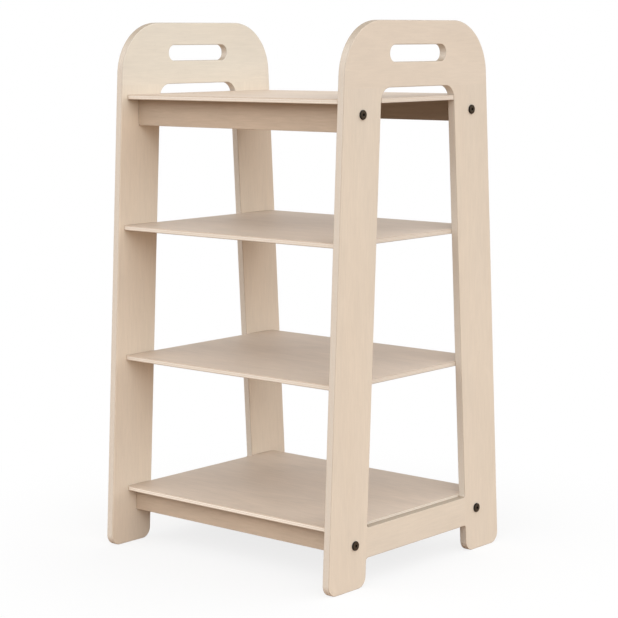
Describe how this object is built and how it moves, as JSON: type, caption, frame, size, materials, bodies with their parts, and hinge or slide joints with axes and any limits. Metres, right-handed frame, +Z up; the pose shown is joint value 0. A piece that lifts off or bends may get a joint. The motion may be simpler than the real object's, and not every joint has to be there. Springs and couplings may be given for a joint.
{
  "type": "mobile bookshelf",
  "caption": "Open plywood shelf unit with tapered end panels, each with a carrying slot and a tall window, joined by thin shelves, aprons and black connector bolts.",
  "frame": {"origin": "on the floor, under the middle of the shelf unit", "axes": "+X along the shelves to the right-hand panel as seen from the front, -Y to the front (the side with the deeper top apron), +Z up"},
  "size_m": [0.5666, 0.5058, 1],
  "materials": {
    "panel_birch": "clear-lacquered pale birch-faced plywood with fine upright grain, eased arrises",
    "shelf_birch": "clear-lacquered pale birch-faced plywood, grain along the shelf",
    "apron_birch": "clear-lacquered pale birch-faced plywood, grain along the board",
    "bolt_black": "satin black-coated steel",
    "nut_zinc": "bright zinc-plated steel",
    "dowel_beech": "raw beech"
  },
  "bodies": {
    "root": {"side_panel_right": "panel_birch", "side_panel_left": "panel_birch", "shelf_top": "shelf_birch", "shelf_second": "shelf_birch", "shelf_third": "shelf_birch", "shelf_bottom": "shelf_birch", "apron_top_front": "apron_birch", "apron_top_rear": "apron_birch", "apron_bottom_front": "apron_birch", "apron_bottom_rear": "apron_birch", "bolt_top_front_right": "bolt_black", "bolt_top_front_left": "bolt_black", "bolt_top_rear_right": "bolt_black", "bolt_top_rear_left": "bolt_black", "bolt_bottom_front_right": "bolt_black", "bolt_bottom_front_left": "bolt_black", "bolt_bottom_rear_right": "bolt_black", "bolt_bottom_rear_left": "bolt_black", "barrel_nut_top_front_right": "nut_zinc", "barrel_nut_top_front_left": "nut_zinc", "barrel_nut_top_rear_right": "nut_zinc", "barrel_nut_top_rear_left": "nut_zinc", "barrel_nut_bottom_front_right": "nut_zinc", "barrel_nut_bottom_front_left": "nut_zinc", "barrel_nut_bottom_rear_right": "nut_zinc", "barrel_nut_bottom_rear_left": "nut_zinc", "apron_dowel_top_front_right": "dowel_beech", "apron_dowel_top_front_left": "dowel_beech", "apron_dowel_top_rear_right": "dowel_beech", "apron_dowel_top_rear_left": "dowel_beech", "apron_dowel_bottom_front_right": "dowel_beech", "apron_dowel_bottom_front_left": "dowel_beech", "apron_dowel_bottom_rear_right": "dowel_beech", "apron_dowel_bottom_rear_left": "dowel_beech"}
  },
  "joints": []
}
